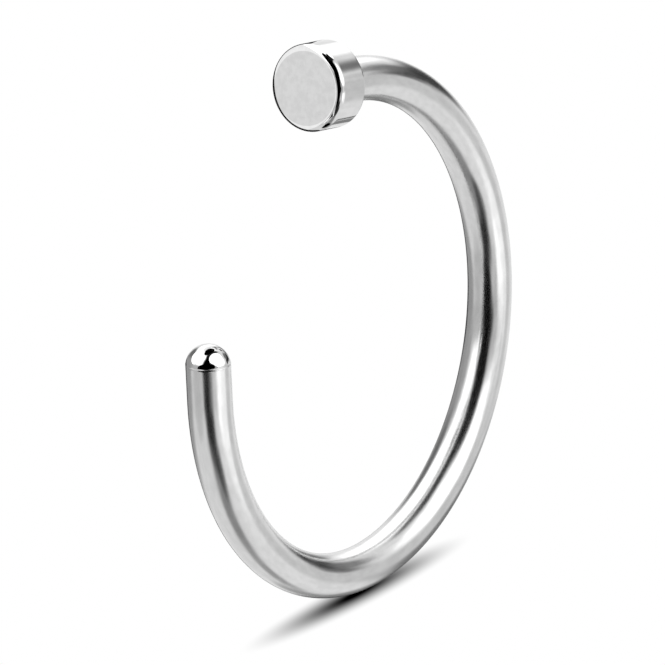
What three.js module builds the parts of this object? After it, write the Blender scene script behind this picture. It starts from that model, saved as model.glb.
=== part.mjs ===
// An open nose hoop of surgical steel. It is one piece of metal: a round pin, turned with a domed tip
// at one end and a flat round head at the other, then bent into a C whose two ends stay straight.
// It lies on its side, leaning on the rim of its head, with its open side towards +X.

import * as THREE from "three";
import { ConvexHull } from "three/addons/math/ConvexHull.js";

// Sizes, in millimetres
const WIRE_DIAMETER = 0.81;
const INNER_DIAMETER = 8.2;
const DOME_HEIGHT = 0.345;
const TIP_STRAIGHT = 0.7;
const HEAD_STRAIGHT = 0.6;
const HEAD_DIAMETER = 1.59;
const HEAD_THICKNESS = 0.73;
const HEAD_FRONT_ROUND = 0.13;
const HEAD_BACK_BREAK = 0.03;

// The bend: how far the wire goes round, and how far its two ends then stand apart sideways
const BEND_DEGREES = 261.5;
const SIDEWAYS_SPRING = 0.32;

// How finely the round surfaces are divided
const SIDES = 32;
const BEND_STEPS = 60;
const DOME_STEPS = 6;
const ROUND_STEPS = 4;

// What follows from the sizes
const wireRadius = WIRE_DIAMETER / 2;
const ballRadius = (wireRadius ** 2 + DOME_HEIGHT ** 2) / (2 * DOME_HEIGHT);
const headRadius = HEAD_DIAMETER / 2;
const bendRadius = (INNER_DIAMETER + WIRE_DIAMETER) / 2;
const bendAngle = THREE.MathUtils.degToRad(BEND_DEGREES);
const sinkPerRadian = -SIDEWAYS_SPRING / bendAngle;
const lengthPerRadian = Math.hypot(bendRadius, sinkPerRadian);
const bendLength = lengthPerRadian * bendAngle;
const wireLength = TIP_STRAIGHT + bendLength + HEAD_STRAIGHT;

// Points [across, along] on a circle of radius 1, from its lowest point round through an angle
function roundPoints(angle, steps) {
  return Array.from({ length: steps + 1 }, (_, step) => {
    const turn = (angle * step) / steps;
    return [Math.sin(turn), 1 - Math.cos(turn)];
  });
}

// The straight pin's outline as (radius, distance along), from the tip of the dome to the head's face.
// The dome is the cap of a ball, so it meets the wire at a crisp angle.
function pinOutline() {
  const outline = [];
  const add = (radius, along) => outline.push(new THREE.Vector2(radius, along));
  for (const [across, along] of roundPoints(Math.asin(wireRadius / ballRadius), DOME_STEPS)) {
    add(ballRadius * across, ballRadius * along - DOME_HEIGHT);
  }
  for (let step = 0; step <= BEND_STEPS; step++) {
    add(wireRadius, TIP_STRAIGHT + (bendLength * step) / BEND_STEPS);
  }
  add(wireRadius, wireLength);
  add(headRadius - HEAD_BACK_BREAK, wireLength);
  add(headRadius, wireLength + HEAD_BACK_BREAK);
  const faceRadius = headRadius - HEAD_FRONT_ROUND;
  for (const [across, along] of roundPoints(Math.PI / 2, ROUND_STEPS).reverse()) {
    add(faceRadius + HEAD_FRONT_ROUND * across, wireLength + HEAD_THICKNESS - HEAD_FRONT_ROUND * along);
  }
  add(0, wireLength + HEAD_THICKNESS);
  return outline;
}

// The wire's centre line, and the two directions across it, at a distance along the pin
function centreLine(along) {
  const bent = THREE.MathUtils.clamp(along - TIP_STRAIGHT, 0, bendLength);
  const angle = bent / lengthPerRadian - bendAngle / 2;
  const outwards = new THREE.Vector3(-Math.cos(angle), -Math.sin(angle), 0);
  const forwards = new THREE.Vector3(
    bendRadius * Math.sin(angle),
    -bendRadius * Math.cos(angle),
    sinkPerRadian,
  ).normalize();
  const centre = outwards.clone().multiplyScalar(bendRadius);
  centre.z = sinkPerRadian * angle;
  centre.addScaledVector(forwards, along - TIP_STRAIGHT - bent);
  return { centre, outwards, sideways: outwards.clone().cross(forwards) };
}

// Bends a straight pin, turned about +Y, along the centre line
function bend(pin) {
  const positions = pin.getAttribute("position");
  const point = new THREE.Vector3();
  for (let i = 0; i < positions.count; i++) {
    point.fromBufferAttribute(positions, i);
    const { centre, outwards, sideways } = centreLine(point.y);
    centre.addScaledVector(outwards, point.x).addScaledVector(sideways, point.z);
    positions.setXYZ(i, centre.x, centre.y, centre.z);
  }
  return pin;
}

// The centre of mass of a closed surface, as the sum of its tetrahedra about the origin
function centreOfMass(geometry) {
  const positions = geometry.getAttribute("position");
  const corners = [0, 1, 2].map(() => new THREE.Vector3());
  const sum = new THREE.Vector3();
  let volume = 0;
  for (let i = 0; i < geometry.index.count; i += 3) {
    corners.forEach((corner, n) => corner.fromBufferAttribute(positions, geometry.index.getX(i + n)));
    const [a, b, c] = corners;
    const share = a.dot(b.clone().cross(c)) / 6;
    volume += share;
    sum.add(a.clone().add(b).add(c).multiplyScalar(share / 4));
  }
  return sum.divideScalar(volume);
}

// Whether a triangle of the hull has the point straight above or below it
function carries(face, point) {
  let edge = face.edge;
  do {
    const from = edge.tail().point;
    const along = edge.head().point.clone().sub(from);
    if (along.cross(point.clone().sub(from)).dot(face.normal) < 0) return false;
    edge = edge.next;
  } while (edge !== face.edge);
  return true;
}

// Turns the hoop onto the side that it lies on: the lowest triangle of its hull under its centre of mass
function layDown(hoop) {
  const positions = hoop.getAttribute("position");
  const points = Array.from({ length: positions.count }, (_, i) =>
    new THREE.Vector3().fromBufferAttribute(positions, i),
  );
  const balance = centreOfMass(hoop);
  const down = new THREE.Vector3(0, 0, -1);
  const feet = new ConvexHull().setFromPoints(points).faces.filter((face) => carries(face, balance));
  const foot = feet.reduce((best, face) => (face.normal.z < best.normal.z ? face : best));
  return hoop.applyQuaternion(new THREE.Quaternion().setFromUnitVectors(foot.normal, down));
}

// Puts the middle of the hoop's box over the origin, and its lowest point on z = 0
function standOnOrigin(hoop) {
  hoop.computeBoundingBox();
  const middle = hoop.boundingBox.getCenter(new THREE.Vector3());
  return hoop.translate(-middle.x, -middle.y, -hoop.boundingBox.min.z);
}

function noseHoop() {
  const pin = new THREE.LatheGeometry(pinOutline(), SIDES);
  const steel = new THREE.MeshStandardMaterial({ color: 0xd6d6d4, roughness: 0.16, metalness: 1 });
  const hoop = new THREE.Mesh(standOnOrigin(layDown(bend(pin))), steel);
  hoop.name = "nose_hoop";
  return hoop;
}

const noseRing = new THREE.Group();
noseRing.add(noseHoop());

export default noseRing;
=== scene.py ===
# An open nose hoop in polished surgical steel, lying on its side on a white floor in a studio.
# It is one round wire, bent into a C, with a domed tip at one end and a flat head at the other.

import math
from typing import NamedTuple

import bpy
from mathutils import Matrix, Quaternion, Vector


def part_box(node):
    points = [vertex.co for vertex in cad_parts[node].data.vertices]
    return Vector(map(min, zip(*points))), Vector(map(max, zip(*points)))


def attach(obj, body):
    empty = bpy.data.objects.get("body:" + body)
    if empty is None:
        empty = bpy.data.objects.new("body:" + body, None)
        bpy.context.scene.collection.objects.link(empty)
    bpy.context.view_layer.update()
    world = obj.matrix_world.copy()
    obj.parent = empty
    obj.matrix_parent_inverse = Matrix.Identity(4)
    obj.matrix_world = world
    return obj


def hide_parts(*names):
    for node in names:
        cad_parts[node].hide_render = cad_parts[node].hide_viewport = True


MM = 0.001

# The hoop's sizes
WIRE_RADIUS = 0.405 * MM
BEND_RADIUS = 4.505 * MM
BEND_DEGREES = 261.5
TIP_STRAIGHT = 0.7 * MM
HEAD_STRAIGHT = 0.6 * MM
SIDEWAYS_SPRING = 0.32 * MM
DOME_HEIGHT = 0.345 * MM
HEAD_RADIUS = 0.795 * MM
HEAD_THICKNESS = 0.73 * MM
FRONT_ROUND = 0.13 * MM
BACK_ROUND = 0.03 * MM
WELD_ROUND = 0.02 * MM
SEAM_DEPTH = 0.006 * MM
SEAM_WIDTH = 0.014 * MM

# How the hoop leans at rest: the turn that brings the ground under it, about a level axis
LEAN_DEGREES = 3.77
LEAN_AXIS_DEGREES = -125.59

# How finely the round surfaces are divided
SIDES = 96
BEND_STEPS = 360
DOME_STEPS = 28
ROUND_STEPS = 10
FRONT_STEPS = 20
STRAIGHT_STEPS = 24
BACK_STEPS = 8
FACE_STEPS = 12

# The camera, with its angles in degrees. It lies over on its side, so that the hoop seems to stand
# up in the picture.
CAMERA_AZIMUTH = 29.71
CAMERA_ELEVATION = 35.99
CAMERA_ROLL = -95.25
CAMERA_DISTANCE = 225 * MM
CAMERA_AIM = Vector((0.334, 0.188, 0.4295)) * MM
LENS = 677.5
SENSOR = 36
CLIP_START = 0.01
CLIP_END = 10


class Pattern(NamedTuple):
    """A noise over the steel: its marks per millimetre across the pin, the share of those that lie
    in a millimetre along it, and its layers of finer marks."""

    per_mm: float
    along: float
    layers: float


# The steel's surface. SATIN and MIRROR are the roughness of the wire and of the polished ends, from
# the smoothest parts to the dullest, and TONE is the grey, from the darkest parts to the lightest.
SATIN = (0.17, 0.22)
MIRROR = (0.04, 0.06)
TONE = (0.635, 0.69)
DRAWN_LINES = Pattern(28, 0.06, 3)
CLOUDS = Pattern(2.5, 0.5, 3)
MOTTLE = Pattern(9, 0.4, 2)
# The range in which most of a noise lies
NOISE_RANGE = (0.3, 0.7)
LINES_RANGE = (0.35, 0.65)
# What the drawn lines add to the roughness, how high they stand, and how strongly they ripple the
# polished ends and the wire
LINES_DULL = 0.03
LINES_HEIGHT = 0.0003 * MM
LINES_RIPPLE = (0.01, 1.0)
# Where the satin stops, in millimetres from the dome's edge and from the head's back
SATIN_FROM_DOME = 0.005
SATIN_FROM_HEAD = 0.01


# Shape

bend_angle = math.radians(BEND_DEGREES)
sink_per_radian = -SIDEWAYS_SPRING / bend_angle
length_per_radian = math.hypot(BEND_RADIUS, sink_per_radian)
bend_length = length_per_radian * bend_angle
wire_length = TIP_STRAIGHT + bend_length + HEAD_STRAIGHT


def steps(start, end, count):
    """Evenly spaced values from start to end, without the end."""
    return [start + (end - start) * n / count for n in range(count)]


def arc(centre_radius, centre_along, size, start_degrees, end_degrees, count):
    """Points (radius, along) of part of a round. 0 degrees points outwards, 90 along the pin."""
    turns = [math.radians(d) for d in steps(start_degrees, end_degrees, count)]
    turns.append(math.radians(end_degrees))
    return [(centre_radius + size * math.cos(t), centre_along + size * math.sin(t)) for t in turns]


def dome_outline():
    """The cap of a ball, whose edge meets the wire at a crisp angle."""
    ball = (WIRE_RADIUS**2 + DOME_HEIGHT**2) / (2 * DOME_HEIGHT)
    edge = math.degrees(math.asin((ball - DOME_HEIGHT) / ball))
    return arc(0, ball - DOME_HEIGHT, ball, -90, -edge, DOME_STEPS)


def wire_outline():
    """From the seam at the dome to the back of the head."""
    seam = [(WIRE_RADIUS - SEAM_DEPTH, SEAM_WIDTH / 2)]
    start = [(WIRE_RADIUS, along) for along in steps(SEAM_WIDTH, TIP_STRAIGHT, STRAIGHT_STEPS)]
    bent = [(WIRE_RADIUS, TIP_STRAIGHT + along) for along in steps(0, bend_length, BEND_STEPS)]
    end = TIP_STRAIGHT + bend_length
    last = [(WIRE_RADIUS, along) for along in steps(end, wire_length - WELD_ROUND, STRAIGHT_STEPS)]
    weld = arc(WIRE_RADIUS + WELD_ROUND, wire_length - WELD_ROUND, WELD_ROUND, 180, 90, ROUND_STEPS)
    return seam + start + bent + last + weld


def head_outline():
    """The head's flat back, back edge, side, front edge and flat face."""
    side_start = wire_length + BACK_ROUND
    side_end = wire_length + HEAD_THICKNESS - FRONT_ROUND
    back_radii = steps(WIRE_RADIUS + 2 * WELD_ROUND, HEAD_RADIUS - BACK_ROUND, BACK_STEPS)
    back = [(radius, wire_length) for radius in back_radii]
    back_edge = arc(HEAD_RADIUS - BACK_ROUND, side_start, BACK_ROUND, -90, 0, ROUND_STEPS)
    side = [(HEAD_RADIUS, along) for along in steps(side_start, side_end, STRAIGHT_STEPS)][1:]
    front_edge = arc(HEAD_RADIUS - FRONT_ROUND, side_end, FRONT_ROUND, 0, 90, FRONT_STEPS)
    face_radii = steps(HEAD_RADIUS - FRONT_ROUND, 0, FACE_STEPS)[1:]
    face = [(radius, wire_length + HEAD_THICKNESS) for radius in face_radii]
    return back + back_edge + side + front_edge + face


def centre_line(along):
    """The wire's centre line, and the two directions across it, at a distance along the pin."""
    bent = min(max(along - TIP_STRAIGHT, 0), bend_length)
    angle = bent / length_per_radian - bend_angle / 2
    outwards = Vector((-math.cos(angle), -math.sin(angle), 0))
    forwards = Vector(
        (BEND_RADIUS * math.sin(angle), -BEND_RADIUS * math.cos(angle), sink_per_radian)
    )
    forwards.normalize()
    centre = outwards * BEND_RADIUS + Vector((0, 0, sink_per_radian * angle))
    return centre + forwards * (along - TIP_STRAIGHT - bent), outwards, outwards.cross(forwards)


def lay_down(points):
    """Leans the points as the hoop rests, with the lowest on the floor, and centres them."""
    lean_axis = math.radians(LEAN_AXIS_DEGREES)
    axis = Vector((math.cos(lean_axis), math.sin(lean_axis), 0))
    lean = Quaternion(axis, math.radians(LEAN_DEGREES))
    leant = [lean @ point for point in points]
    lowest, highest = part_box("nose_hoop")
    middle = (lowest + highest) / 2
    shift = Vector(
        (
            middle.x - (min(p.x for p in leant) + max(p.x for p in leant)) / 2,
            middle.y - (min(p.y for p in leant) + max(p.y for p in leant)) / 2,
            -min(p.z for p in leant),
        )
    )
    return [point + shift for point in leant]


def make_hoop():
    """The whole hoop as one closed mesh: a straight pin, bent along its centre line."""
    dome, wire, head = dome_outline()[1:], wire_outline(), head_outline()
    outline = dome + wire + head
    ends = [(0, -DOME_HEIGHT), (0, wire_length + HEAD_THICKNESS)]
    points, places = [], []
    for radius, along in outline:
        centre, outwards, sideways = centre_line(along)
        for side in range(SIDES):
            turn = 2 * math.pi * side / SIDES
            points.append(centre + radius * (math.cos(turn) * outwards + math.sin(turn) * sideways))
            places.append((along / MM, radius / MM, turn))
    for radius, along in ends:
        points.append(centre_line(along)[0])
        places.append((along / MM, 0, 0))
    faces = []
    for ring in range(len(outline) - 1):
        for side in range(SIDES):
            a, b = ring * SIDES + side, ring * SIDES + (side + 1) % SIDES
            faces.append((a, a + SIDES, b + SIDES, b))
    tip, face = len(points) - 2, len(points) - 1
    last = (len(outline) - 1) * SIDES
    for side in range(SIDES):
        other = (side + 1) % SIDES
        faces.append((tip, side, other))
        faces.append((face, last + other, last + side))
    mesh = bpy.data.meshes.new("nose_hoop_polished")
    mesh.from_pydata(lay_down(points), [], faces)
    mesh.shade_smooth()
    place = mesh.attributes.new("place", "FLOAT_VECTOR", "POINT")
    place.data.foreach_set("vector", [value for p in places for value in p])
    mesh.update()
    hoop = bpy.data.objects.new("nose_hoop_polished", mesh)
    bpy.context.collection.objects.link(hoop)
    return hoop


# Nodes


class Nodes:
    """A short way to build a tree of shader nodes."""

    def __init__(self, tree):
        self.tree = tree
        tree.nodes.clear()

    def add(self, kind, **settings):
        node = self.tree.nodes.new(kind)
        for name, value in settings.items():
            setattr(node, name, value)
        return node

    def feed(self, socket, value):
        if isinstance(value, bpy.types.NodeSocket):
            self.tree.links.new(value, socket)
        else:
            socket.default_value = value

    def math(self, operation, *values):
        node = self.add("ShaderNodeMath", operation=operation)
        for socket, value in zip(node.inputs, values):
            self.feed(socket, value)
        return node.outputs[0]

    def dot(self, a, b):
        node = self.add("ShaderNodeVectorMath", operation="DOT_PRODUCT")
        self.feed(node.inputs[0], a)
        self.feed(node.inputs[1], b)
        return node.outputs["Value"]

    def degrees(self, angle):
        return self.math("MULTIPLY", angle, 180 / math.pi)

    def parts(self, vector):
        node = self.add("ShaderNodeSeparateXYZ")
        self.feed(node.inputs[0], vector)
        return node.outputs

    def join(self, x, y, z):
        node = self.add("ShaderNodeCombineXYZ")
        for socket, value in zip(node.inputs, (x, y, z)):
            self.feed(socket, value)
        return node.outputs[0]

    def noise(self, place, scale, detail):
        node = self.add("ShaderNodeTexNoise")
        self.feed(node.inputs["Vector"], place)
        self.feed(node.inputs["Scale"], scale)
        self.feed(node.inputs["Detail"], detail)
        return node.outputs[0]

    def ramp(self, value, start, end, low=0.0, high=1.0):
        """Smoothly from low, where the value is start, to high, where it is end."""
        node = self.add("ShaderNodeMapRange", interpolation_type="SMOOTHSTEP")
        for socket, given in zip(node.inputs, (value, start, end, low, high)):
            self.feed(socket, given)
        return node.outputs[0]

    def blend(self, share, low, high):
        """low where the share is 0, high where it is 1."""
        node = self.add("ShaderNodeMix", data_type="FLOAT")
        self.feed(node.inputs[0], share)
        self.feed(node.inputs[2], low)
        self.feed(node.inputs[3], high)
        return node.outputs[0]


# Steel


def steel():
    """Satin drawn wire, with a dome and a head polished to a mirror."""
    material = bpy.data.materials.new("polished_steel")
    material.use_nodes = True
    nodes = Nodes(material.node_tree)
    surface = nodes.add("ShaderNodeBsdfPrincipled")
    surface.inputs["Metallic"].default_value = 1
    place = nodes.add("ShaderNodeAttribute", attribute_name="place").outputs["Vector"]
    along, radius, turn = nodes.parts(place)
    x = nodes.math("MULTIPLY", radius, nodes.math("COSINE", turn))
    y = nodes.math("MULTIPLY", radius, nodes.math("SINE", turn))
    after_dome = nodes.math("GREATER_THAN", along, SATIN_FROM_DOME)
    before_head = nodes.math("LESS_THAN", along, wire_length / MM - SATIN_FROM_HEAD)
    wire = nodes.math("MULTIPLY", after_dome, before_head)

    def spread(pattern):
        where = nodes.join(x, y, nodes.math("MULTIPLY", along, pattern.along))
        return nodes.noise(where, pattern.per_mm, pattern.layers)

    lines, clouds = spread(DRAWN_LINES), spread(CLOUDS)
    dull = nodes.ramp(lines, *LINES_RANGE, 0, LINES_DULL)
    satin = nodes.math("ADD", nodes.ramp(clouds, *NOISE_RANGE, *SATIN), dull)
    mirror = nodes.ramp(clouds, *NOISE_RANGE, *MIRROR)
    nodes.feed(surface.inputs["Roughness"], nodes.blend(wire, mirror, satin))
    tone = nodes.ramp(spread(MOTTLE), *NOISE_RANGE, *TONE)
    nodes.feed(surface.inputs["Base Color"], nodes.join(tone, tone, tone))

    ripple = nodes.add("ShaderNodeBump")
    nodes.feed(ripple.inputs["Strength"], nodes.blend(wire, *LINES_RIPPLE))
    ripple.inputs["Distance"].default_value = LINES_HEIGHT
    nodes.feed(ripple.inputs["Height"], lines)
    nodes.feed(surface.inputs["Normal"], ripple.outputs[0])
    out = nodes.add("ShaderNodeOutputMaterial")
    nodes.feed(out.inputs["Surface"], surface.outputs[0])
    return material


# Studio


def direction(azimuth, elevation):
    """The direction at an azimuth measured from the camera's, and an elevation above the floor."""
    azimuth, elevation = math.radians(azimuth + CAMERA_AZIMUTH), math.radians(elevation)
    level = math.cos(elevation)
    return Vector((level * math.cos(azimuth), level * math.sin(azimuth), math.sin(elevation)))


class Patch(NamedTuple):
    """An oval of light or dark far from the hoop, in degrees, with the azimuth from the camera's.
    It turns from azimuth to elevation. Its edge is soft for that share of its size, in and out."""

    azimuth: float
    elevation: float
    half_width: float
    half_height: float
    turn: float
    edge: float
    brightness: float


# A later patch covers an earlier one
PATCHES = [
    # the dull ground below, and the white sheets on it
    Patch(-90, -78, 400, 22, 0, 0.3, 0.42),
    Patch(-105, -60, 50, 12, 0, 0.5, 0.2),
    Patch(90, -28, 72, 36, 0, 0.2, 0.94),
    Patch(34, -27, 17, 24, 0, 0.4, 0.66),
    Patch(-87, -18, 56, 29, -3, 0.15, 1.9),
    Patch(-36, -12, 40, 24, 0, 0.2, 1.9),
    Patch(9, -24, 11, 32, 0, 0.4, 0.62),
    Patch(-20, -56, 38, 15, 0, 0.5, 0.5),
    # the grey ceiling and its soft boxes
    Patch(20, 74, 62, 24, 0, 0.35, 0.6),
    Patch(180, 45, 22, 26, 0, 0.3, 0.76),
    Patch(-92, 66, 70, 30, 4, 0.15, 1.9),
    Patch(112, 68, 50, 9, -4, 0.3, 1.7),
    Patch(146, 56, 30, 10, -12, 0.3, 1.35),
    # dark stands behind the hoop
    Patch(-156, 4, 9, 27, 0, 0.35, 0.03),
    Patch(-159, 26, 8, 6, 0, 0.35, 0.05),
    Patch(-144, 18, 9, 12, 0, 0.4, 0.22),
    Patch(167, -10, 8, 30, 0, 0.4, 0.2),
    Patch(141, -20, 9, 10, 0, 0.5, 0.38),
    Patch(176, -52, 16, 24, 0, 0.3, 0.04),
    # the dark room round the camera
    Patch(-70, 20, 42, 11, 4, 0.2, 0.02),
    Patch(-10, 33, 56, 25, -8, 0.2, 0.0),
    Patch(18, 17, 28, 20, 0, 0.15, 0.0),
    Patch(17, 48, 11, 14, 0, 0.3, 0.0),
    Patch(84, 11, 34, 15, -24, 0.4, 0.33),
    Patch(118, -2, 18, 8, -15, 0.4, 0.42),
    Patch(76, 31, 12, 13, -12, 0.4, 0.05),
    Patch(54, 26, 14, 21, -10, 0.35, 0.02),
    # low dark things behind the hoop
    Patch(161, -26, 10, 9, 0, 0.4, 0.06),
    Patch(155, -16, 9, 9, 0, 0.5, 0.28),
]


class Card(NamedTuple):
    """An oval card close to the hoop, in millimetres. It hangs at a distance off a point, in the
    direction that an azimuth and an elevation give, and faces back to the point."""

    off: Vector
    azimuth: float
    elevation: float
    distance: float
    half_width: float
    half_height: float
    brightness: float


CARD_SIDES = 48
HEAD_FACE = Vector((4.19, -2.55, 0.79))
DOME_TIP = Vector((3.98, 2.73, 0.93))
CARDS = [
    # by the head: dark in front, light above, and dark below
    Card(HEAD_FACE, -38, 15, 2.7, 1.3, 0.6, 0.0),
    Card(HEAD_FACE, -101, 16, 2.8, 0.8, 0.6, 1.9),
    Card(HEAD_FACE, 102, 8, 2.25, 0.75, 0.34, 0.0),
    # by the domed tip: light above and to the left of it, dark between, and dark in front
    Card(DOME_TIP, -72, 60, 1.4, 1.1, 0.78, 1.9),
    Card(DOME_TIP, -30, -38, 1.4, 0.95, 0.68, 1.9),
    Card(DOME_TIP, -78, 8, 1.4, 0.9, 0.4, 0.0),
    Card(DOME_TIP, 24, 28, 1.4, 0.45, 1.25, 0.0),
]


class Sheet(NamedTuple):
    """An oval sheet on the floor by the head, in millimetres in front of its face and aside; the
    dark one is a painted shadow.
    """

    forwards: float
    aside: float
    half_length: float
    half_width: float
    brightness: float


# The floor under the head's face, and the azimuth that the face looks to
HEAD_FOOT = Vector((4.19, -2.55, 0))
HEAD_AZIMUTH = 11
# Each sheet lies this far over the one before it
SHEET_GAP = 0.001
SHEETS = [
    Sheet(1.5, 0.0, 2.6, 2.2, 1.25),
    Sheet(1.15, 0.15, 1.15, 0.86, 0.98),
    # dark: a painted shadow under the head, seen only in the steel's reflection
    Sheet(-0.8, 1.0, 0.95, 2.4, 0.02),
    Sheet(-2.7, 2.1, 0.95, 1.0, 0.95),
]


class Shade(NamedTuple):
    """An oval of painted shadow on the floor, in millimetres. Its middle lies this much nearer to
    the camera than the origin, and this much down the picture. The turn and the edge are as a
    patch's."""

    nearer: float
    down: float
    half_width: float
    half_height: float
    turn: float
    edge: float


# A painted shadow: inside this oval the floor's glow is dimmed, standing in for the hoop's contact
# shadow
PAINTED_SHADOW = Shade(-1.7, 4.67, 2.0, 0.18, 19, 0.85)
# How far the floor reaches each way, in metres
FLOOR_REACH = 3.0


def share_of(shape, nodes, aside, above):
    """How much of a patch or of the painted shadow is seen at a place off its middle, 1 inside and
    0 outside.
    """
    oval = nodes.add("ShaderNodeMapping", vector_type="TEXTURE")
    nodes.feed(oval.inputs["Vector"], nodes.join(aside, above, 0))
    oval.inputs["Rotation"].default_value = (0, 0, math.radians(shape.turn))
    oval.inputs["Scale"].default_value = (shape.half_width, shape.half_height, 1)
    reach = nodes.add("ShaderNodeVectorMath", operation="LENGTH")
    nodes.feed(reach.inputs[0], oval.outputs[0])
    return nodes.ramp(reach.outputs["Value"], 1 + shape.edge, 1 - shape.edge)


def studio():
    """The light and dark that the steel mirrors. The camera itself sees only white."""
    world = bpy.data.worlds.new("studio")
    world.use_nodes = True
    bpy.context.scene.world = world
    nodes = Nodes(world.node_tree)
    x, y, z = nodes.parts(nodes.add("ShaderNodeTexCoord").outputs["Generated"])
    azimuth = nodes.math("SUBTRACT", nodes.degrees(nodes.math("ARCTAN2", y, x)), CAMERA_AZIMUTH)
    elevation = nodes.degrees(nodes.math("ARCSINE", z))
    brightness = 1.0
    for patch in PATCHES:
        aside = nodes.math("WRAP", nodes.math("SUBTRACT", azimuth, patch.azimuth), 180, -180)
        above = nodes.math("SUBTRACT", elevation, patch.elevation)
        brightness = nodes.blend(share_of(patch, nodes, aside, above), brightness, patch.brightness)
    ray = nodes.add("ShaderNodeLightPath").outputs
    background = nodes.add("ShaderNodeBackground")
    background.inputs["Color"].default_value = (1, 1, 1, 1)
    nodes.feed(background.inputs["Strength"], nodes.blend(ray["Is Camera Ray"], brightness, 1.0))
    out = nodes.add("ShaderNodeOutputWorld")
    nodes.feed(out.inputs["Surface"], background.outputs[0])


def glowing(name):
    """A new material that only glows, with its nodes and the socket for its strength."""
    material = bpy.data.materials.new(name)
    material.use_nodes = True
    nodes = Nodes(material.node_tree)
    glow = nodes.add("ShaderNodeEmission")
    out = nodes.add("ShaderNodeOutputMaterial")
    nodes.feed(out.inputs["Surface"], glow.outputs[0])
    return material, nodes, glow.inputs["Strength"]


def flat_piece(name, corners, material):
    """One flat face with its material."""
    mesh = bpy.data.meshes.new(name)
    mesh.from_pydata(corners, [], [tuple(range(len(corners)))])
    mesh.materials.append(material)
    piece = bpy.data.objects.new(name, mesh)
    bpy.context.collection.objects.link(piece)
    return piece


def floor():
    """A white sheet on a light table, with a soft painted shadow beside the hoop, where its glow is
    dimmed.
    """
    material, nodes, strength = glowing("pale_floor")
    place = nodes.add("ShaderNodeTexCoord").outputs["Object"]
    nearer = nodes.math("SUBTRACT", nodes.dot(place, direction(0, 0) / MM), PAINTED_SHADOW.nearer)
    down = nodes.math("SUBTRACT", nodes.dot(place, direction(90, 0) / MM), PAINTED_SHADOW.down)
    # painted shadow: the floor glows less inside the oval
    nodes.feed(strength, nodes.math("SUBTRACT", 1.0, share_of(PAINTED_SHADOW, nodes, nearer, down)))
    ways = [(-1, -1), (1, -1), (1, 1), (-1, 1)]
    corners = [(FLOOR_REACH * x, FLOOR_REACH * y, 0) for x, y in ways]
    ground = flat_piece("floor", corners, material)
    ground.visible_glossy = False


def oval_card(name, centre, long, wide, brightness):
    """A glowing or black oval that only the steel sees."""
    turns = [math.radians(degrees) for degrees in steps(0, 360, CARD_SIDES)]
    points = [centre + math.cos(turn) * long + math.sin(turn) * wide for turn in turns]
    material, nodes, strength = glowing(name)
    nodes.feed(strength, brightness)
    card = flat_piece(name, points, material)
    card.visible_camera = False
    card.visible_diffuse = False
    card.visible_shadow = False


def cards():
    """The cards and sheets close to the hoop."""
    for number, card in enumerate(CARDS):
        back = direction(card.azimuth, card.elevation)
        wide = Vector((0, 0, 1)).cross(back).normalized()
        centre = (card.off + card.distance * back) * MM
        long = back.cross(wide) * card.half_height * MM
        oval_card(f"card_{number}", centre, long, wide * card.half_width * MM, card.brightness)
    forwards, aside = direction(HEAD_AZIMUTH, 0), direction(HEAD_AZIMUTH + 90, 0)
    for number, sheet in enumerate(SHEETS):
        centre = HEAD_FOOT + sheet.forwards * forwards + sheet.aside * aside
        centre.z += SHEET_GAP * number
        long, wide = forwards * sheet.half_length * MM, aside * sheet.half_width * MM
        oval_card(f"sheet_{number}", centre * MM, long, wide, sheet.brightness)


def camera():
    """The camera, aimed at CAMERA_AIM and rolled."""
    data = bpy.data.cameras.new("camera")
    data.lens = LENS
    data.sensor_width = SENSOR
    data.clip_start = CLIP_START
    data.clip_end = CLIP_END
    back = direction(0, CAMERA_ELEVATION)
    right = Vector((0, 0, 1)).cross(back).normalized()
    upwards = back.cross(right)
    turn = Matrix.Rotation(math.radians(-CAMERA_ROLL), 3, back)
    right, upwards = turn @ right, turn @ upwards
    view = bpy.data.objects.new("camera", data)
    view.matrix_world = Matrix((right, upwards, back)).transposed().to_4x4()
    view.location = CAMERA_AIM + back * CAMERA_DISTANCE
    bpy.context.collection.objects.link(view)
    bpy.context.scene.camera = view


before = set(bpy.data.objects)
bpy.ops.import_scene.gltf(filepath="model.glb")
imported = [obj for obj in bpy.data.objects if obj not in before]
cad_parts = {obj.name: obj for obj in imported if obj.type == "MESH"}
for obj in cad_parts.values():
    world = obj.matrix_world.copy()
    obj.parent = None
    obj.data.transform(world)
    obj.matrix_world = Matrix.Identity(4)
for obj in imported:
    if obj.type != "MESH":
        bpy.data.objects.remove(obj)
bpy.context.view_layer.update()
camera()
studio()
floor()
cards()
bpy.context.scene.view_settings.view_transform = "Standard"

hoop = make_hoop()
hoop.data.materials.append(steel())
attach(hoop, "root")
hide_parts("nose_hoop")
